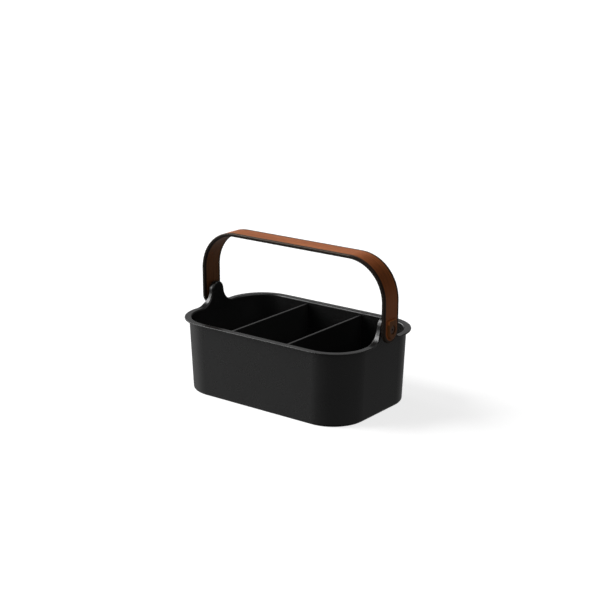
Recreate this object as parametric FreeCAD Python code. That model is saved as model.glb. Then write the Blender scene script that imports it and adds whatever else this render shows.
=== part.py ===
"""Tool storage caddy: a tapered open bin in three compartments with a bent-wood carrying handle.

The bin is one moulding with a flared rim, two upstanding ears and guide ribs for two lift-out
dividers. The handle is a laminated hoop that swings on a shoulder screw through each of its legs.
+X runs along the bin, +Z is up, and the origin is the middle of the base.
"""
import FreeCAD, Part

import math
import os

from FreeCAD import Vector

# Rim and wall of the bin
RIM_LENGTH = 250.0
RIM_WIDTH = 160.0
RIM_HEIGHT = 86.0
RIM_CORNER = 46.5
LIP = 5.6
WALL = 2.6
FLARE = 1.9
LIP_THICKNESS = 1.8
LIP_ROUND = 0.5
LIP_UNDER_ROUND = 0.9
LIP_ROOT = 1.2
BAND = 8.0

# Base of the bin
BASE_LENGTH = 231.6
BASE_WIDTH = 145.8
BASE_CORNER = 40.0
BASE_EDGE = 3.0
FLOOR = 3.0
FLOOR_FILLET = 4.0
FOOT_WIDTH = 7.0
FOOT_HEIGHT = 0.8

# Ears, and the handle's pivot in them
PIVOT_HEIGHT = 100.5
EAR_TOP = 113.3
EAR_RADIUS = 10.2
EAR_LEAN = 4.0
EAR_FILLET = 18.5
EAR_LIP = 2.7
EAR_LIP_START = 86.5
EAR_LIP_END = 97.0
BOSS_RADIUS = 7.5

# Dividers and their guide ribs
DIVIDER_PITCH = 39.2
DIVIDER_THICKNESS = 3.0
DIVIDER_DROP = 2.8
DIVIDER_GAP = 0.25
DIVIDER_END_GAP = 0.4
DIVIDER_EDGE = 0.4
GUIDE_THICKNESS = 1.6
GUIDE_DEPTH = 1.8
GUIDE_TOP = 34.0
GUIDE_LEAD = 4.0

# Handle hoop
HANDLE_LENGTH = 259.2
HANDLE_TOP = 179.0
HANDLE_CORNER = 48.0
HANDLE_WIDTH = 28.2
HANDLE_THICKNESS = 4.0
HANDLE_EDGE = 1.2
LEG_DROP = 1.4
VENEER = 0.6

# Pivot hardware
PAD_HALF_WIDTH = 7.3
PAD_TOP = 111.8
PAD_BOTTOM = 89.4
PAD_THICKNESS = 2.3
PAD_EDGE = 1.5
PAD_HOLE_CHAMFER = 0.3
PAD_TOP_CORNER = 1.6
SHOULDER_RADIUS = 2.5
THREAD_RADIUS = 1.95
HEAD_RADIUS = 4.6
HEAD_THICKNESS = 1.3
HEX_ACROSS = 2.5
HEX_DEPTH = 0.9
RUNNING_GAP = 0.05
BUSHING_RADIUS = 3.45
WASHER_RADIUS = 6.5
WASHER_THICKNESS = 0.5
INSERT_RADIUS = 3.2
INSERT_LENGTH = 5.5
INSERT_HOLE_DEPTH = 6.0

# Places worked out from the dimensions above
X, Y, Z = Vector(1, 0, 0), Vector(0, 1, 0), Vector(0, 0, 1)
WALL_X = RIM_LENGTH / 2 - LIP
WALL_Y = RIM_WIDTH / 2 - LIP
WALL_CORNER = RIM_CORNER - LIP
BAND_BOTTOM = RIM_HEIGHT - BAND
HOOP_X = HANDLE_LENGTH / 2
LEG_FACE = HOOP_X - HANDLE_THICKNESS
BOSS_FACE = LEG_FACE - WASHER_THICKNESS - 2 * RUNNING_GAP
PIVOT = Vector(0, 0, PIVOT_HEIGHT)
EAR_CENTRE = Vector(0, 0, EAR_TOP - EAR_RADIUS)


def rounded_rectangle(half_x, half_y, radius, z):
    """Closed wire of four lines and four arcs at height z."""
    edges = []
    slant = radius * math.sqrt(0.5)
    for sx, sy in ((1, 1), (-1, 1), (-1, -1), (1, -1)):
        cx, cy = sx * (half_x - radius), sy * (half_y - radius)
        on_end = Vector(sx * half_x, cy, z)
        middle = Vector(cx + sx * slant, cy + sy * slant, z)
        on_side = Vector(cx, sy * half_y, z)
        first, last = (on_end, on_side) if sx == sy else (on_side, on_end)
        if edges:
            edges.append(Part.LineSegment(edges[-1].EndPoint, first))
        edges.append(Part.Arc(first, middle, last))
    edges.append(Part.LineSegment(edges[-1].EndPoint, edges[0].StartPoint))
    return Part.Wire([edge.toShape() for edge in edges])


def tapered_block(inset, bottom):
    """The bin's tapered outline, moved in by inset, from height bottom up to the rim band."""
    share = bottom / BAND_BOTTOM
    half_x = BASE_LENGTH / 2 + (WALL_X - BASE_LENGTH / 2) * share
    half_y = BASE_WIDTH / 2 + (WALL_Y - BASE_WIDTH / 2) * share
    corner = BASE_CORNER + (WALL_CORNER - BASE_CORNER) * share
    low = rounded_rectangle(half_x - inset, half_y - inset, corner - inset, bottom)
    high = rounded_rectangle(WALL_X - inset, WALL_Y - inset, WALL_CORNER - inset, BAND_BOTTOM)
    return Part.makeLoft([low, high], True, True)


def edges_at_height(shape, z):
    """The edges that lie level at height z."""
    return [edge for edge in shape.Edges if abs(edge.BoundBox.ZMin - z) < 1e-4 > abs(edge.BoundBox.ZMax - z)]


def inner_wall(z):
    """Half-width of the bin's hollow at height z."""
    return BASE_WIDTH / 2 + (WALL_Y - BASE_WIDTH / 2) * z / BAND_BOTTOM - WALL


def rim_section(origin, out, up):
    """Section of the rim: the wall turns out through an arc into a round-edged lip.

    origin is on the wall's outer face, level with the top of the lip.
    """
    def at(u, w):
        return origin + out * u + up * w

    def arc(centre_u, centre_w, radius, start, end):
        points = []
        for degrees in (start, (start + end) / 2, end):
            angle = math.radians(degrees)
            points.append(at(centre_u + radius * math.cos(angle), centre_w + radius * math.sin(angle)))
        return Part.Arc(*points)

    curves = [
        arc(FLARE - WALL, -FLARE, FLARE, 180, 90),
        arc(LIP - LIP_ROUND, -LIP_ROUND, LIP_ROUND, 90, 0),
        arc(LIP - LIP_UNDER_ROUND, LIP_UNDER_ROUND - LIP_THICKNESS, LIP_UNDER_ROUND, 0, -90),
        arc(LIP_ROOT, -LIP_THICKNESS - LIP_ROOT, LIP_ROOT, 90, 180),
    ]
    corners = [at(0, -BAND), at(-WALL, -BAND)]
    edges = [Part.LineSegment(corners[0], corners[1])]
    for curve in curves:
        edges.append(Part.LineSegment(edges[-1].EndPoint, curve.StartPoint))
        edges.append(curve)
    edges.append(Part.LineSegment(edges[-1].EndPoint, corners[0]))
    return Part.Face(Part.Wire([edge.toShape() for edge in edges]))


def rim_quarter():
    """Rim along half of the +Y side and round the +X +Y corner."""
    corner_x, corner_y = WALL_X - WALL_CORNER, WALL_Y - WALL_CORNER
    section = rim_section(Vector(0, WALL_Y, RIM_HEIGHT), Y, Z)
    side = section.extrude(X * corner_x)
    section.translate(X * corner_x)
    corner = section.revolve(Vector(corner_x, corner_y, 0), Z, -90)
    return [side, corner]


def ear_outline(inset):
    """Points of the ear's outline, moved in by inset, from its +Y foot to its top.

    A wide fillet leads from the rim into a short straight side that leans in to the round top.
    """
    lean = math.radians(EAR_LEAN)
    outward = Y * math.cos(lean) + Z * math.sin(lean)
    rise = RIM_HEIGHT + EAR_FILLET - EAR_CENTRE.z
    reach = (EAR_RADIUS + EAR_FILLET - rise * math.sin(lean)) / math.cos(lean)
    centre = Vector(WALL_X, reach, RIM_HEIGHT + EAR_FILLET)
    radius = EAR_FILLET + inset
    half = math.radians(225 + EAR_LEAN / 2)
    foot = centre - Z * radius
    bend = centre + (Y * math.cos(half) + Z * math.sin(half)) * radius
    neck = centre - outward * radius
    brow = EAR_CENTRE + X * WALL_X + outward * (EAR_RADIUS - inset)
    top = EAR_CENTRE + X * WALL_X + Z * (EAR_RADIUS - inset)
    return centre, outward, foot, bend, neck, brow, top


def flipped(point):
    """The same point on the other side of the bin's long centre plane."""
    return Vector(point.x, -point.y, point.z)


def ear_plate():
    """Flat middle of the +X ear, inside its flared border."""
    inset = (FLARE + BAND) / 2
    foot, bend, neck, brow, top = ear_outline(inset)[2:]
    end = WALL_Y - WALL_CORNER
    shoulder = Vector(WALL_X, end, RIM_HEIGHT - inset)
    base = Vector(WALL_X, end, BAND_BOTTOM)
    curves = [
        Part.LineSegment(base, shoulder),
        Part.LineSegment(shoulder, foot),
        Part.Arc(foot, bend, neck),
        Part.LineSegment(neck, brow),
        Part.Arc(brow, top, flipped(brow)),
        Part.LineSegment(flipped(brow), flipped(neck)),
        Part.Arc(flipped(neck), flipped(bend), flipped(foot)),
        Part.LineSegment(flipped(foot), flipped(shoulder)),
        Part.LineSegment(flipped(shoulder), flipped(base)),
        Part.LineSegment(flipped(base), base),
    ]
    return Part.Face(Part.Wire([curve.toShape() for curve in curves])).extrude(X * -WALL)


def ear_lip_trim():
    """What is cut from the ear's lip, so that it narrows up the ear and stands clear of the leg."""
    rim_edge, ear_edge = WALL_X + LIP, WALL_X + EAR_LIP
    middle = (EAR_LIP_START + EAR_LIP_END) / 2
    quarter = (EAR_LIP_END - EAR_LIP_START) / 4
    half_step = (rim_edge - ear_edge) / 2
    start = Vector(rim_edge, -WALL_Y, EAR_LIP_START)
    waist = Vector(rim_edge - half_step, -WALL_Y, middle)
    end = Vector(ear_edge, -WALL_Y, EAR_LIP_END)
    curve = Part.BezierCurve()
    curve.setPoles([start, start + Z * quarter, waist, end - Z * quarter, end])
    top = Vector(ear_edge, -WALL_Y, EAR_TOP + LIP)
    top_out = Vector(rim_edge + LIP, -WALL_Y, EAR_TOP + LIP)
    start_out = Vector(rim_edge + LIP, -WALL_Y, EAR_LIP_START)
    edges = [curve.toShape(), Part.makeLine(end, top), Part.makeLine(top, top_out)]
    edges += [Part.makeLine(top_out, start_out), Part.makeLine(start_out, start)]
    return Part.Face(Part.Wire(edges)).extrude(Y * 2 * WALL_Y)


def ear():
    """The +X ear with the rim beside it: plate, flared border and the boss that carries the screw."""
    centre, outward, foot, _, neck, brow, _ = ear_outline(0)
    start = Vector(WALL_X, WALL_Y - WALL_CORNER, RIM_HEIGHT)
    level = rim_section(start, X, Z).extrude(foot - start)
    fillet = rim_section(foot, X, Z).revolve(centre, X, EAR_LEAN - 90)
    side = rim_section(neck, X, outward).extrude(brow - neck)
    dome = rim_section(brow, X, outward).revolve(EAR_CENTRE, X, 180 - 2 * EAR_LEAN)
    trim = ear_lip_trim()
    dome = dome.cut(trim)
    sides = [level, fillet.cut(trim), side.cut(trim)]
    mirrored = [piece.mirror(Vector(), Y) for piece in sides]
    boss_start = WALL_X - WALL / 2
    boss = Part.makeCylinder(BOSS_RADIUS, BOSS_FACE - boss_start, PIVOT + X * boss_start, X)
    return sides + mirrored + [dome, ear_plate(), boss]


def guide_rib(x):
    """Upright rib on the +Y wall, with a sloping lead-in at its top."""
    inner = Vector(x, inner_wall(FLOOR / 2) - GUIDE_DEPTH, FLOOR / 2)
    shoulder = Vector(x, inner_wall(GUIDE_TOP) - GUIDE_DEPTH, GUIDE_TOP)
    tip = Vector(x, inner_wall(GUIDE_TOP) + WALL / 3, GUIDE_TOP + GUIDE_LEAD)
    outer = Vector(x, inner_wall(FLOOR / 2) + WALL / 3, FLOOR / 2)
    face = Part.Face(Part.makePolygon([inner, shoulder, tip, outer, inner]))
    return face.extrude(X * GUIDE_THICKNESS)


def guide_ribs():
    """A pair of ribs on each long wall for each divider."""
    offset = DIVIDER_THICKNESS / 2 + DIVIDER_GAP
    ribs = []
    for side in (-1, 1):
        for start in (offset, -offset - GUIDE_THICKNESS):
            rib = guide_rib(side * DIVIDER_PITCH + start)
            ribs += [rib, rib.mirror(Vector(), Y)]
    return ribs


def bin_shell():
    """The whole bin as one moulding."""
    outside = tapered_block(0, 0)
    outside = outside.makeFillet(BASE_EDGE, edges_at_height(outside, 0))
    hollow = tapered_block(WALL, FLOOR)
    hollow = hollow.makeFillet(FLOOR_FILLET, edges_at_height(hollow, FLOOR))
    foot_x, foot_y = BASE_LENGTH / 2 - FOOT_WIDTH, BASE_WIDTH / 2 - FOOT_WIDTH
    recess_outline = rounded_rectangle(foot_x, foot_y, BASE_CORNER - FOOT_WIDTH, 0)
    recess = Part.Face(recess_outline).extrude(Z * FOOT_HEIGHT)
    shell = outside.cut(hollow).cut(recess)

    quarter = rim_quarter()
    half = quarter + [piece.mirror(Vector(), Y) for piece in quarter] + ear()
    band = half + [piece.mirror(Vector(), X) for piece in half]
    shell = shell.fuse(band + guide_ribs())
    for side in (-1, 1):
        mouth = PIVOT + X * (side * (BOSS_FACE - INSERT_HOLE_DEPTH))
        shell = shell.cut(Part.makeCylinder(INSERT_RADIUS + RUNNING_GAP, INSERT_HOLE_DEPTH, mouth, X * side))
    return shell.removeSplitter()


def divider(side):
    """Lift-out panel between two compartments, with round lower corners."""
    x = side * DIVIDER_PITCH - DIVIDER_THICKNESS / 2
    top = RIM_HEIGHT - DIVIDER_DROP
    low = inner_wall(FLOOR) - DIVIDER_END_GAP
    high = inner_wall(top) - DIVIDER_END_GAP
    corners = [Vector(x, low, FLOOR), Vector(x, high, top), Vector(x, -high, top), Vector(x, -low, FLOOR)]
    panel = Part.Face(Part.makePolygon(corners + corners[:1])).extrude(X * DIVIDER_THICKNESS)
    lower_corners = [e for e in panel.Edges if e.BoundBox.XLength > 1 and e.BoundBox.ZMax < FLOOR + 1]
    panel = panel.makeFillet(FLOOR_FILLET + 1, lower_corners)
    top_edges = [e for e in panel.Edges if e.BoundBox.ZMin > top - 1e-4 and e.BoundBox.YLength > 1]
    return panel.makeFillet(DIVIDER_EDGE, top_edges)


def hoop_layer(outer, inner):
    """Layer of the hoop between two depths below its outer face, cut square at the lower ends."""
    foot = PIVOT_HEIGHT - HANDLE_WIDTH
    start = Vector(0, -HANDLE_WIDTH / 2, 0)

    def outline(depth):
        x, top, radius = HOOP_X - depth, HANDLE_TOP - depth, HANDLE_CORNER - depth
        slant = radius * math.sqrt(0.5)
        bend_x, bend_z = x - radius, top - radius
        points = [(-x, foot), (-x, bend_z), (-bend_x - slant, bend_z + slant), (-bend_x, top),
                  (bend_x, top), (bend_x + slant, bend_z + slant), (x, bend_z), (x, foot)]
        return [start + X * px + Z * pz for px, pz in points]

    edges = []
    for points in (outline(outer), outline(inner)):
        edges += [Part.LineSegment(points[0], points[1]), Part.Arc(*points[1:4])]
        edges += [Part.LineSegment(points[3], points[4]), Part.Arc(*points[4:7])]
        edges.append(Part.LineSegment(points[6], points[7]))
    edges.append(Part.LineSegment(edges[0].StartPoint, edges[5].StartPoint))
    edges.append(Part.LineSegment(edges[4].EndPoint, edges[9].EndPoint))
    outline_edges = Part.sortEdges([edge.toShape() for edge in edges])[0]
    return Part.Face(Part.Wire(outline_edges)).extrude(Y * HANDLE_WIDTH)


def handle_blank():
    """The finished outside of the hoop: round leg ends, eased edges and the two pivot holes."""
    straight = hoop_layer(0, HANDLE_THICKNESS)
    half = HANDLE_WIDTH / 2
    span = HANDLE_LENGTH + 2 * HANDLE_WIDTH
    corner = Vector(-span / 2, -half, PIVOT_HEIGHT - LEG_DROP)
    upper = Part.makeBox(span, HANDLE_WIDTH, HANDLE_TOP, corner)
    rounded_ends = Part.makeCylinder(half, span, PIVOT - X * (span / 2) - Z * LEG_DROP, X)
    blank = straight.common(upper.fuse(rounded_ends)).removeSplitter()
    edges = [e for e in blank.Edges if e.BoundBox.YLength > HANDLE_WIDTH - 1 or e.BoundBox.YLength < 1e-3]
    edges = [e for e in edges if not is_crossing(e)]
    blank = blank.makeFillet(HANDLE_EDGE, edges)
    hole = Part.makeCylinder(BUSHING_RADIUS + RUNNING_GAP, span, PIVOT - X * (span / 2), X)
    return blank.cut(hole)


def is_crossing(edge):
    """True for an edge that runs straight across the hoop's width."""
    return edge.BoundBox.XLength < 1e-3 and edge.BoundBox.ZLength < 1e-3


def handle_layers():
    """The laminated hoop: a core with a face veneer on each side."""
    blank = handle_blank()
    depths = {
        "handle_outer_veneer": (0, VENEER),
        "handle_core": (VENEER, HANDLE_THICKNESS - VENEER),
        "handle_inner_veneer": (HANDLE_THICKNESS - VENEER, HANDLE_THICKNESS),
    }
    return {name: blank.common(hoop_layer(*pair)) for name, pair in depths.items()}


def pivot_pad():
    """Raised pad on the outer face of the +X leg, straight on top and round below."""
    half, corner = PAD_HALF_WIDTH, PAD_TOP_CORNER
    slant = corner * (1 - math.sqrt(0.5))
    bend = PAD_BOTTOM + half
    base = Vector(HOOP_X, 0, 0)

    def at(y, z):
        return base + Y * y + Z * z

    curves = [
        Part.LineSegment(at(half, bend), at(half, PAD_TOP - corner)),
        Part.Arc(at(half, PAD_TOP - corner), at(half - slant, PAD_TOP - slant), at(half - corner, PAD_TOP)),
        Part.LineSegment(at(half - corner, PAD_TOP), at(corner - half, PAD_TOP)),
        Part.Arc(at(corner - half, PAD_TOP), at(slant - half, PAD_TOP - slant), at(-half, PAD_TOP - corner)),
        Part.LineSegment(at(-half, PAD_TOP - corner), at(-half, bend)),
        Part.Arc(at(-half, bend), at(0, PAD_BOTTOM), at(half, bend)),
    ]
    pad = Part.Face(Part.Wire([curve.toShape() for curve in curves])).extrude(X * PAD_THICKNESS)
    front = HOOP_X + PAD_THICKNESS
    pad = pad.makeFillet(PAD_EDGE, [e for e in pad.Edges if e.BoundBox.XMin > front - 1e-4])
    hole_radius = HEAD_RADIUS + 4 * RUNNING_GAP
    pad = pad.cut(Part.makeCylinder(hole_radius, PAD_THICKNESS, PIVOT + X * HOOP_X, X))
    rim = [e for e in pad.Edges if e.BoundBox.XMin > front - 1e-4 and e.BoundBox.YLength < 2.1 * hole_radius
           and e.Closed]
    return pad.makeChamfer(PAD_HOLE_CHAMFER, rim)


def pivot_screw():
    """Shoulder screw with a low socket head, along +X into the ear's insert."""
    head_start = HOOP_X + RUNNING_GAP
    shoulder_start = BOSS_FACE + RUNNING_GAP
    tip = BOSS_FACE - INSERT_LENGTH + RUNNING_GAP
    head = Part.makeCylinder(HEAD_RADIUS, HEAD_THICKNESS, PIVOT + X * head_start, X)
    head_face = head_start + HEAD_THICKNESS
    head = head.makeFillet(HEAD_THICKNESS / 3, [e for e in head.Edges if e.BoundBox.XMin > head_face - 1e-4])
    shoulder_length = head_start - shoulder_start
    shoulder = Part.makeCylinder(SHOULDER_RADIUS, shoulder_length, PIVOT + X * shoulder_start, X)
    thread = Part.makeCylinder(THREAD_RADIUS, shoulder_start - tip, PIVOT + X * tip, X)
    socket_corner = HEX_ACROSS / math.sqrt(3)
    corners = []
    for step in range(7):
        angle = math.radians(60 * step)
        corner = Vector(0, socket_corner * math.cos(angle), socket_corner * math.sin(angle))
        corners.append(PIVOT + X * (head_face - HEX_DEPTH) + corner)
    socket = Part.Face(Part.makePolygon(corners)).extrude(X * HEX_DEPTH)
    return head.fuse([shoulder, thread]).cut(socket).removeSplitter()


def ring(start, length, outer, inner):
    """Plain ring about the pivot axis."""
    tube = Part.makeCylinder(outer, length, PIVOT + X * start, X)
    return tube.cut(Part.makeCylinder(inner, length, PIVOT + X * start, X))


def pivot_bushing():
    """Sleeve in the handle's leg that turns on the screw's shoulder."""
    return ring(LEG_FACE, HANDLE_THICKNESS, BUSHING_RADIUS, SHOULDER_RADIUS + RUNNING_GAP)


def friction_washer():
    """Spring washer between the ear's boss and the leg, which keeps the handle where it is put."""
    return ring(BOSS_FACE + RUNNING_GAP, WASHER_THICKNESS, WASHER_RADIUS, SHOULDER_RADIUS + RUNNING_GAP)


def thread_insert():
    """Insert set in the ear's boss, with two grooves that lock it in the moulding."""
    start = BOSS_FACE - INSERT_LENGTH - RUNNING_GAP
    insert = ring(start, INSERT_LENGTH, INSERT_RADIUS, THREAD_RADIUS + RUNNING_GAP)
    groove_width = INSERT_LENGTH / 6
    for share in (0.3, 0.65):
        groove = ring(start + INSERT_LENGTH * share, groove_width, INSERT_RADIUS + 1, INSERT_RADIUS - 0.4)
        insert = insert.cut(groove)
    return insert


def build():
    """Every node by name."""
    nodes = {"bin_shell": bin_shell(), "divider_left": divider(-1), "divider_right": divider(1)}
    nodes.update(handle_layers())
    hardware = (pivot_pad, pivot_screw, pivot_bushing, friction_washer, thread_insert)
    for make in hardware:
        piece = make()
        nodes[make.__name__ + "_right"] = piece
        nodes[make.__name__ + "_left"] = piece.mirror(Vector(), X)
    return nodes


os.makedirs("parts", exist_ok=True)
for node, shape in build().items():
    if not shape.isValid() or shape.Volume <= 0:
        raise ValueError(f"{node} is not a sound solid")
    shape.exportStep(f"parts/{node}.step")
    print(f"{node}: {len(shape.Solids)} solid, {shape.Volume:.0f} mm3")
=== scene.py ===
"""Looks of the tool storage caddy: satin black moulded bin, red-brown veneered handle, soft studio light."""

import math

import bpy
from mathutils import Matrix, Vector


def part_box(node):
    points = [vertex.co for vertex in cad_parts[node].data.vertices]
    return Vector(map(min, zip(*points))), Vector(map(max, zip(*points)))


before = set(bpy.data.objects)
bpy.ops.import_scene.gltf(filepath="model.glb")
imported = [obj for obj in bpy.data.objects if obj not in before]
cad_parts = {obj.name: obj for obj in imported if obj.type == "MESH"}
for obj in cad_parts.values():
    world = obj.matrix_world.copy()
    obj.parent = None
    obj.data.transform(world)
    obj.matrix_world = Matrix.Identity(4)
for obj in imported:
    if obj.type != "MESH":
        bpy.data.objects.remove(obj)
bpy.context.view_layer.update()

# Lengths are in metres, and angles in degrees unless a comment says otherwise

# Camera, from the object's front right and a little above. The lens and its film's width are in mm
CAMERA_AZIMUTH = 37.47
CAMERA_ELEVATION = 16.2
CAMERA_DISTANCE = 1.535
CAMERA_LENS = 81.26
CAMERA_FILM = 36.0
AIM_ASIDE = 0.0051
AIM_HEIGHT = 0.1118

# Floor and backdrop: size, and the floor's own whiteness and light from within
STAGE_SIZE = 16.0
BACKDROP_HEIGHT = STAGE_SIZE / 3
FLOOR_ALBEDO = 0.45
FLOOR_LIFT = 0.79

# Suns, where spread is a sun's apparent width. The key lights everything, and the fill only the bin and
# its panels
KEY_AZIMUTH = -60
KEY_ELEVATION = 41
KEY_STRENGTH = 2.3
KEY_SPREAD = 32
FILL_AZIMUTH = 80
FILL_ELEVATION = 55
FILL_STRENGTH = 1.4
FILL_SPREAD = 80

# Brightness of the room above floor level
ROOM_STRENGTH = 0.07

# Brightness of the room at floor level: azimuth, brightness
FLOOR_GLOW = (
    (-180, 0.22), (-130, 0.15), (-100, 0.36), (-75, 0.6), (-45, 0.45), (-20, 0.25), (20, 0.19), (90, 0.2),
    (145, 0.16), (180, 0.22),
)

# Elevations between which the room changes from floor level to above, and from full to its share underneath
HORIZON_EDGE = (-4, 6)
UNDERSIDE_EDGE = (-56, -36)
UNDERSIDE_SHARE = 0.1

# Panels of soft light. Each is strength, then its left and right edges as azimuths and its bottom and
# top edges as elevations, where each edge fades from its first figure to its second
SOFT_PANELS = (
    (5.5, (-122, -97), (-45, -20), (3, 12), (22, 32)),
    (0.34, (-178, -165), (-130, -115), (0, 8), (19, 34)),
)

# Moulded plastic: its black, marks per metre of its tone, rubs and grain, and how its inside differs,
# painted paler there as painted light on the bin's shaded inside
PLASTIC_BLACK = 0.005
PLASTIC_CLOUDS = 22.0
PLASTIC_RUBS = 90.0
PLASTIC_GRAIN = 2600.0
PLASTIC_GRAIN_DEPTH = 0.00004
OUTSIDE_SPECULAR = 0.5
INSIDE_SPECULAR = 0.12
INSIDE_PAINTED_LIGHT = 1.25
INSIDE_ROUGHER = 0.25

# Where a surface stops counting as inside: its plane's distance from the object's upright axis, negative
# where it faces that axis, and the upward part of its normal
INWARD_EDGE = (-0.012, -0.004)
UPRIGHT_EDGE = (0.1, 0.45)

# Dark, middle and pale tones of the wood, and how much paler the pads' upper edges are painted, as a painted
# highlight of the light from above
OUTER_TONES = ((0.35, 0.086, 0.02), (0.5, 0.138, 0.032), (0.63, 0.195, 0.048))
INNER_TONES = ((0.26, 0.086, 0.028), (0.37, 0.14, 0.045), (0.46, 0.19, 0.065))
PAD_TONES = ((0.2, 0.064, 0.018), (0.28, 0.102, 0.031), (0.35, 0.14, 0.045))
PAD_PAINTED_HIGHLIGHT = 3.0

# Heights over the pivot where the painted highlight on the pads' edges starts and where it is full
PAD_HIGHLIGHT_FROM = (0.0051, 0.0081)

# Veneer: its pores' tone, how far its streaks wander, and the dark along its edges, partly a stain and
# partly painted shade where the rounded edge turns away, as how far in from the edge it starts and is full
PORE_TONE = (0.16, 0.045, 0.018, 1)
STREAK_WANDER = 0.006
EDGE_STAIN_AND_SHADE = (0.035, 0.022, 0.016, 1)
EDGE_DARKENING_START = 0.0042
EDGE_DARKENING_FULL = 0.0024

# Stained ply: one ply's thickness, the stain's dark and pale tones, and the wood that shows on its rounded
# edges, partly where it is worn and partly as a painted highlight
PLY_THICKNESS = 0.00095
PLY_DARK = (0.007, 0.006, 0.0055)
PLY_PALE = (0.016, 0.013, 0.011)
PLY_WEAR_AND_HIGHLIGHT = (0.055, 0.036, 0.024, 1)

# Dark and pale tones of the nylon, and the colours and fine rings per metre of the metals
NYLON_DARK = (0.42, 0.4, 0.34)
NYLON_PALE = (0.52, 0.5, 0.44)
BRONZE_COAT = (0.2, 0.13, 0.1)
SPRING_STEEL = (0.5, 0.5, 0.5)
BRASS = (0.75, 0.52, 0.24)
METAL_RINGS = 9000.0

# Hoop of the handle, read from its core and outer veneer, and the radius of its outer face at the bends
core_low, core_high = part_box("handle_core")
_, outer_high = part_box("handle_outer_veneer")
HOOP_END = outer_high.x
HOOP_TOP = outer_high.z
HOOP_HALF_WIDTH = core_high.y
HOOP_CORNER = 0.048

# Heights of the centre of each leg's round end, and of the pivot
LEG_END_HEIGHT = core_low.z + HOOP_HALF_WIDTH
screw_low, screw_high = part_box("pivot_screw_right")
PIVOT_HEIGHT = (screw_low.z + screw_high.z) / 2


def direction(azimuth, elevation):
    """Unit vector from the object towards that azimuth and elevation."""
    a, e = math.radians(azimuth), math.radians(elevation)
    return Vector((math.sin(a) * math.cos(e), -math.cos(a) * math.cos(e), math.sin(e)))


def make_camera():
    data = bpy.data.cameras.new("camera")
    data.lens = CAMERA_LENS
    data.sensor_width = CAMERA_FILM
    camera = bpy.data.objects.new("camera", data)
    back = direction(CAMERA_AZIMUTH, CAMERA_ELEVATION)
    camera.location = Vector((AIM_ASIDE, 0, AIM_HEIGHT)) + back * CAMERA_DISTANCE
    camera.rotation_mode = "QUATERNION"
    camera.rotation_quaternion = (-back).to_track_quat("-Z", "Y")
    bpy.context.scene.collection.objects.link(camera)
    bpy.context.scene.camera = camera


def make_sun(name, azimuth, elevation, strength, spread):
    """A soft source a long way off."""
    data = bpy.data.lights.new(name, "SUN")
    data.energy = strength
    data.angle = math.radians(spread)
    sun = bpy.data.objects.new(name, data)
    sun.rotation_mode = "QUATERNION"
    sun.rotation_quaternion = direction(azimuth, elevation).to_track_quat("Z", "Y")
    bpy.context.scene.collection.objects.link(sun)
    return sun


def light_only(sun, prefixes):
    """Lets the sun fall on the CAD nodes whose names start so, and on nothing else."""
    lit = bpy.data.collections.new(sun.name + "_lights")
    for name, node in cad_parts.items():
        if name.startswith(prefixes):
            lit.objects.link(node)
    sun.light_linking.receiver_collection = lit


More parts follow.
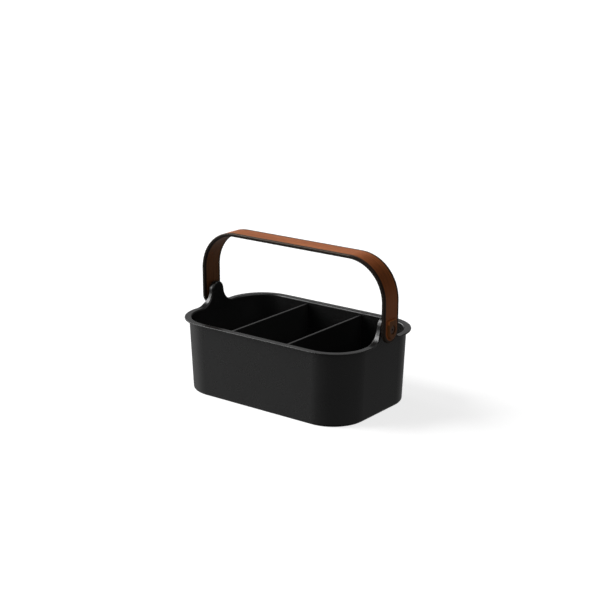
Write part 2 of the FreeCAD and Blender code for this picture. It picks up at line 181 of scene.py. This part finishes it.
class Nodes:
    """Short calls for building the node tree of one material or world."""

    def __init__(self, owner):
        owner.use_nodes = True
        self.owner = owner
        self.tree = owner.node_tree
        self.shader = self.tree.nodes.get("Principled BSDF") or self.tree.nodes["Background"]

    def add(self, kind, **settings):
        node = self.tree.nodes.new(kind)
        for key, value in settings.items():
            setattr(node, key, value)
        return node

    def feed(self, socket, value):
        """Links a node's output to the socket, or sets the socket to a plain value."""
        if isinstance(value, bpy.types.NodeSocket):
            self.tree.links.new(value, socket)
        else:
            socket.default_value = value

    def set(self, **inputs):
        """Feeds the shader's inputs, named with underscores for spaces."""
        for name, value in inputs.items():
            self.feed(self.shader.inputs[name.replace("_", " ")], value)

    def math(self, operation, *values):
        node = self.add("ShaderNodeMath", operation=operation)
        for socket, value in zip(node.inputs, values):
            self.feed(socket, value)
        return node.outputs[0]

    def length(self, first, second):
        """Length of the long side of a right-angled triangle with those two short sides."""
        squares = self.math("ADD", self.math("POWER", first, 2.0), self.math("POWER", second, 2.0))
        return self.math("SQRT", squares)

    def place(self, kind="Object"):
        """X, Y and Z of a point on the piece in metres, of its normal, or of a world's direction."""
        split = self.add("ShaderNodeSeparateXYZ")
        self.feed(split.inputs[0], self.add("ShaderNodeTexCoord").outputs[kind])
        return split.outputs

    def vector(self, x, y, z):
        node = self.add("ShaderNodeCombineXYZ")
        for socket, value in zip(node.inputs, (x, y, z)):
            self.feed(socket, value)
        return node.outputs[0]

    def between(self, value, low, high, to_low=0.0, to_high=1.0, curve="LINEAR"):
        """Maps the range low to high on to another range, clamped."""
        node = self.add("ShaderNodeMapRange", interpolation_type=curve)
        for socket, number in zip(node.inputs[1:5], (low, high, to_low, to_high)):
            socket.default_value = number
        self.feed(node.inputs[0], value)
        return node.outputs[0]

    def rise(self, value, start, end):
        """0 up to start and 1 from end on, with a smooth step between."""
        return self.between(value, start, end, curve="SMOOTHSTEP")

    def fall(self, value, start, end):
        """1 up to start and 0 from end on, with a smooth step between."""
        return self.between(value, start, end, 1.0, 0.0, "SMOOTHSTEP")

    def faces_inward(self, x, y):
        """1 on upright surfaces that face the object's upright axis, and 0 where they face away."""
        facing = self.place("Normal")
        along = self.math("MULTIPLY", x, facing[0])
        across = self.math("MULTIPLY", y, facing[1])
        inward = self.fall(self.math("ADD", along, across), *INWARD_EDGE)
        upright = self.fall(facing[2], *UPRIGHT_EDGE)
        return self.math("MULTIPLY", inward, upright)

    def turned_from(self, axis, full, none):
        """1 on the rounded edges of a face square to that axis, and 0 on the face itself."""
        squareness = self.math("ABSOLUTE", self.place("Normal")[axis])
        return self.fall(squareness, full, none)

    def noise(self, where, scale, detail, roughness=0.5):
        node = self.add("ShaderNodeTexNoise")
        self.feed(node.inputs["Vector"], where)
        node.inputs["Scale"].default_value = scale
        node.inputs["Detail"].default_value = detail
        node.inputs["Roughness"].default_value = roughness
        return node.outputs["Fac"]

    def grain(self, along, across, marks, layer, detail, roughness=0.5):
        """Noise drawn out along the wood, with that many marks per metre along and across it.

        Each layer is a different slice of the noise.
        """
        marks_along, marks_across = marks
        drawn = (self.math("MULTIPLY", along, marks_along), self.math("MULTIPLY", across, marks_across))
        return self.noise(self.vector(*drawn, layer), 1.0, detail, roughness)

    def ramp(self, value, *stops):
        """Maps a value to colours; each stop is (position, (r, g, b))."""
        node = self.add("ShaderNodeValToRGB")
        elements = node.color_ramp.elements
        while len(elements) < len(stops):
            elements.new(0.5)
        for element, (position, colour) in zip(elements, stops):
            element.position = position
            element.color = (*colour, 1)
        self.feed(node.inputs[0], value)
        return node.outputs["Color"]

    def scaled(self, colour, factor):
        node = self.add("ShaderNodeVectorMath", operation="SCALE")
        self.feed(node.inputs[0], colour)
        self.feed(node.inputs["Scale"], factor)
        return node.outputs[0]

    def mix(self, share, first, second, blend="MIX"):
        node = self.add("ShaderNodeMix", data_type="RGBA", blend_type=blend)
        self.feed(node.inputs[0], share)
        self.feed(node.inputs[6], first)
        self.feed(node.inputs[7], second)
        return node.outputs[2]

    def bump(self, height, strength, distance, under=None):
        node = self.add("ShaderNodeBump")
        node.inputs["Strength"].default_value = strength
        node.inputs["Distance"].default_value = distance
        self.feed(node.inputs["Height"], height)
        if under is not None:
            self.feed(node.inputs["Normal"], under)
        return node.outputs["Normal"]


def make_world():
    """A dim room, paler at floor level, with soft panels of light standing round it."""
    room = Nodes(bpy.data.worlds.new("studio"))
    x, y, z = room.place("Generated")
    azimuth = room.math("DEGREES", room.math("ARCTAN2", x, room.math("MULTIPLY", y, -1.0)))
    height = room.math("DEGREES", room.math("ARCSINE", z))
    light = 0.0
    for strength, left, right, bottom, top in SOFT_PANELS:
        across = room.math("MULTIPLY", room.rise(azimuth, *left), room.fall(azimuth, *right))
        upright = room.math("MULTIPLY", room.rise(height, *bottom), room.fall(height, *top))
        light = room.math("MULTIPLY_ADD", room.math("MULTIPLY", across, upright), strength, light)
    stops = [((turn + 180) / 360, (glow, glow, glow)) for turn, glow in FLOOR_GLOW]
    glow = room.ramp(room.between(azimuth, -180, 180), *stops)
    shadowed = room.between(height, *UNDERSIDE_EDGE, UNDERSIDE_SHARE, 1.0, "SMOOTHSTEP")
    above = (ROOM_STRENGTH, ROOM_STRENGTH, ROOM_STRENGTH, 1)
    dim = room.mix(room.rise(height, *HORIZON_EDGE), room.scaled(glow, shadowed), above)
    room.set(Color=room.mix(1.0, dim, light, "ADD"), Strength=1.0)
    bpy.context.scene.world = room.owner


def stage_sheet(name, corners, faces, albedo, light):
    """Matt white sheet, lit from within as well, that casts nothing back on to the object."""
    paint = Nodes(bpy.data.materials.new(name))
    paint.set(
        Base_Color=(albedo, albedo, albedo, 1),
        Roughness=1.0,
        Specular_IOR_Level=0.0,
        Emission_Color=(1, 1, 1, 1),
        Emission_Strength=light,
    )
    mesh = bpy.data.meshes.new(name)
    mesh.from_pydata(corners, [], faces)
    mesh.materials.append(paint.owner)
    sheet = bpy.data.objects.new(name, mesh)
    sheet.visible_diffuse = False
    sheet.visible_glossy = False
    bpy.context.scene.collection.objects.link(sheet)
    return sheet


def make_stage():
    """A pale floor, and a white backdrop all round it that lets the studio's light through."""
    half = STAGE_SIZE / 2
    low = [(-half, -half, 0), (half, -half, 0), (half, half, 0), (-half, half, 0)]
    high = [(x, y, BACKDROP_HEIGHT) for x, y, _ in low]
    stage_sheet("floor", low, [(0, 1, 2, 3)], FLOOR_ALBEDO, FLOOR_LIFT)
    walls = [(0, 1, 5, 4), (1, 2, 6, 5), (2, 3, 7, 6), (3, 0, 4, 7)]
    backdrop = stage_sheet("backdrop", low + high, walls, 0.0, 1.0)
    backdrop.visible_shadow = False


def moulded_plastic(name, gloss):
    """Black moulding: satin outside and matt inside, with fine grain and faint rubs. The inside is painted
    paler, as painted light on its shade.
    """
    paint = Nodes(bpy.data.materials.new(name))
    x, y, z = paint.place()
    where = paint.vector(x, y, z)
    clouds = paint.noise(where, PLASTIC_CLOUDS, 3.0)
    rubs = paint.noise(where, PLASTIC_RUBS, 6.0, 0.65)
    grain = paint.noise(where, PLASTIC_GRAIN, 2.0)
    inside = paint.faces_inward(x, y)
    shade = paint.between(clouds, 0.3, 0.7, PLASTIC_BLACK * 0.85, PLASTIC_BLACK * 1.2)
    # Paler inside: painted light that lifts the shaded inside of the bin
    shade = paint.math("MULTIPLY", shade, paint.between(inside, 0.0, 1.0, 1.0, INSIDE_PAINTED_LIGHT))
    satin = paint.between(rubs, 0.35, 0.7, gloss + 0.02, gloss - 0.02)
    paint.set(
        Base_Color=paint.vector(shade, shade, shade),
        Roughness=paint.math("MULTIPLY_ADD", inside, INSIDE_ROUGHER, satin),
        Specular_IOR_Level=paint.between(inside, 0.0, 1.0, OUTSIDE_SPECULAR, INSIDE_SPECULAR),
        Normal=paint.bump(grain, 0.05, PLASTIC_GRAIN_DEPTH),
    )
    return paint.owner


def hoop_coordinates(paint):
    """Length along the hoop, place across it, depth below its outer face, and distance out from its middle
    line, which ends at the centre of each leg's round end.
    """
    x, y, z = paint.place()
    bend_x, bend_z = HOOP_END - HOOP_CORNER, HOOP_TOP - HOOP_CORNER
    size = paint.math("ABSOLUTE", x)
    over_x = paint.math("MAXIMUM", paint.math("SUBTRACT", size, bend_x), 0.0)
    over_z = paint.math("MAXIMUM", paint.math("SUBTRACT", z, bend_z), 0.0)
    level = paint.math("MINIMUM", size, bend_x)
    drop = paint.math("MAXIMUM", paint.math("SUBTRACT", bend_z, z), 0.0)
    turn = paint.math("MULTIPLY", paint.math("ARCTAN2", over_x, over_z), HOOP_CORNER)
    length = paint.math("ADD", paint.math("ADD", level, drop), turn)
    along = paint.math("MULTIPLY", length, paint.math("SIGN", x))
    depth = paint.math("SUBTRACT", HOOP_CORNER, paint.length(over_x, over_z))
    below = paint.math("MINIMUM", paint.math("SUBTRACT", z, LEG_END_HEIGHT), 0.0)
    out = paint.length(y, below)
    return along, y, depth, out


def walnut(name, tones, is_pad=False):
    """Satin red-brown veneer: long streaks, fine pores and a slow drift in tone.

    The hoop's veneers are darkened at their edges, partly by a stain and partly as painted shade where the
    rounded edge turns away. The pads are darker, with a painted highlight on their rounded upper edges.
    """
    paint = Nodes(bpy.data.materials.new(name))
    along, y, _, out = hoop_coordinates(paint)
    warp = paint.grain(along, y, (9.0, 30.0), 0.0, 2.0)
    drift = paint.math("MULTIPLY", paint.math("SUBTRACT", warp, 0.5), STREAK_WANDER)
    across = paint.math("ADD", y, drift)
    streaks = paint.grain(along, across, (14.0, 620.0), 3.0, 5.0, 0.6)
    pores = paint.grain(along, across, (140.0, 3600.0), 7.0, 3.0, 0.6)
    patches = paint.grain(along, across, (5.0, 60.0), 1.0, 2.0)
    body = paint.ramp(streaks, *zip((0.28, 0.5, 0.75), tones))
    toned = paint.mix(paint.between(patches, 0.35, 0.7, 0.0, 0.35), body, (*tones[0], 1))
    pored = paint.mix(paint.between(pores, 0.58, 0.72, 0.0, 0.6), toned, PORE_TONE)
    if is_pad:
        # Painted highlight: the pads' rounded upper edges are painted paler where light from above falls on
        # them
        start, full = (PIVOT_HEIGHT + rise for rise in PAD_HIGHLIGHT_FROM)
        upper = paint.rise(paint.place()[2], start, full)
        edge_highlight = paint.math("MULTIPLY", paint.turned_from(0, 0.88, 0.995), upper)
        finished = paint.scaled(pored, paint.between(edge_highlight, 0.0, 1.0, 1.0, PAD_PAINTED_HIGHLIGHT))
    else:
        # Dark along the hoop's edges: a stain, widened as painted shade where the rounded edge turns away
        edge = paint.rise(out, HOOP_HALF_WIDTH - EDGE_DARKENING_START, HOOP_HALF_WIDTH - EDGE_DARKENING_FULL)
        finished = paint.mix(edge, pored, EDGE_STAIN_AND_SHADE)
    paint.set(
        Base_Color=finished,
        Roughness=paint.between(streaks, 0.3, 0.7, 0.44, 0.34),
        Specular_IOR_Level=0.25,
        Specular_Tint=(1.0, 0.75, 0.5, 1),
        Normal=paint.bump(pores, 0.3, 0.00008, paint.bump(streaks, 0.2, 0.0001)),
    )
    return paint.owner


def stained_ply(name):
    """Black-stained ply edge, where the plies just show as faint lines along the hoop."""
    paint = Nodes(bpy.data.materials.new(name))
    along, y, depth, _ = hoop_coordinates(paint)
    plies = paint.math("SINE", paint.math("MULTIPLY", depth, 2 * math.pi / PLY_THICKNESS))
    fibre = paint.grain(along, depth, (60.0, 2600.0), y, 4.0)
    shade = paint.math("ADD", paint.math("MULTIPLY", plies, 0.18), fibre)
    stained = paint.ramp(shade, (0.25, PLY_DARK), (0.75, PLY_PALE))
    # Paler rounded edges: wear, and partly a painted highlight of the light along those roundings
    worn = paint.between(fibre, 0.3, 0.7, 0.5, 1.0)
    edge_highlight = paint.math("MULTIPLY", paint.turned_from(1, 0.75, 0.98), worn)
    paint.set(
        Base_Color=paint.mix(edge_highlight, stained, PLY_WEAR_AND_HIGHLIGHT),
        Roughness=paint.between(fibre, 0.3, 0.7, 0.27, 0.2),
        Specular_IOR_Level=0.28,
        Specular_Tint=(1.0, 0.85, 0.7, 1),
        Normal=paint.bump(shade, 0.15, 0.00006),
    )
    return paint.owner


def plain_metal(name, colour, roughness, scratches):
    """Turned or coated metal with fine rings about the pivot's axis."""
    paint = Nodes(bpy.data.materials.new(name))
    _, y, z = paint.place()
    radius = paint.length(y, paint.math("SUBTRACT", z, PIVOT_HEIGHT))
    rings = paint.noise(paint.vector(paint.math("MULTIPLY", radius, METAL_RINGS), 0.0, 0.0), 1.0, 2.0)
    paint.set(
        Base_Color=(*colour, 1),
        Metallic=1.0,
        Roughness=paint.between(rings, 0.3, 0.7, roughness - scratches, roughness + scratches),
        Normal=paint.bump(rings, 0.15, 0.00003),
    )
    return paint.owner


def nylon(name):
    """Off-white nylon with a slight cloudiness."""
    paint = Nodes(bpy.data.materials.new(name))
    clouds = paint.noise(paint.vector(*paint.place()), 400.0, 3.0)
    paint.set(Base_Color=paint.ramp(clouds, (0.3, NYLON_DARK), (0.7, NYLON_PALE)), Roughness=0.5)
    return paint.owner


def dress(materials):
    """Gives each CAD node its material by the start of its name."""
    for name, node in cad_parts.items():
        material = next(m for prefix, m in materials.items() if name.startswith(prefix))
        node.data.materials.clear()
        node.data.materials.append(material)


make_camera()
make_world()
make_sun("key", KEY_AZIMUTH, KEY_ELEVATION, KEY_STRENGTH, KEY_SPREAD)
fill = make_sun("fill", FILL_AZIMUTH, FILL_ELEVATION, FILL_STRENGTH, FILL_SPREAD)
light_only(fill, ("bin_shell", "divider"))
make_stage()
dress({
    "bin_shell": moulded_plastic("bin_black", 0.28),
    "divider": moulded_plastic("divider_black", 0.32),
    "handle_outer_veneer": walnut("walnut_outer", OUTER_TONES),
    "handle_inner_veneer": walnut("walnut_inner", INNER_TONES),
    "handle_core": stained_ply("black_ply_edge"),
    "pivot_pad": walnut("pad_walnut", PAD_TONES, is_pad=True),
    "pivot_screw": plain_metal("bronze_coat", BRONZE_COAT, 0.42, 0.06),
    "pivot_bushing": nylon("nylon"),
    "friction_washer": plain_metal("spring_steel", SPRING_STEEL, 0.35, 0.08),
    "thread_insert": plain_metal("brass", BRASS, 0.3, 0.08),
})

bpy.context.scene.view_settings.view_transform = "Standard"
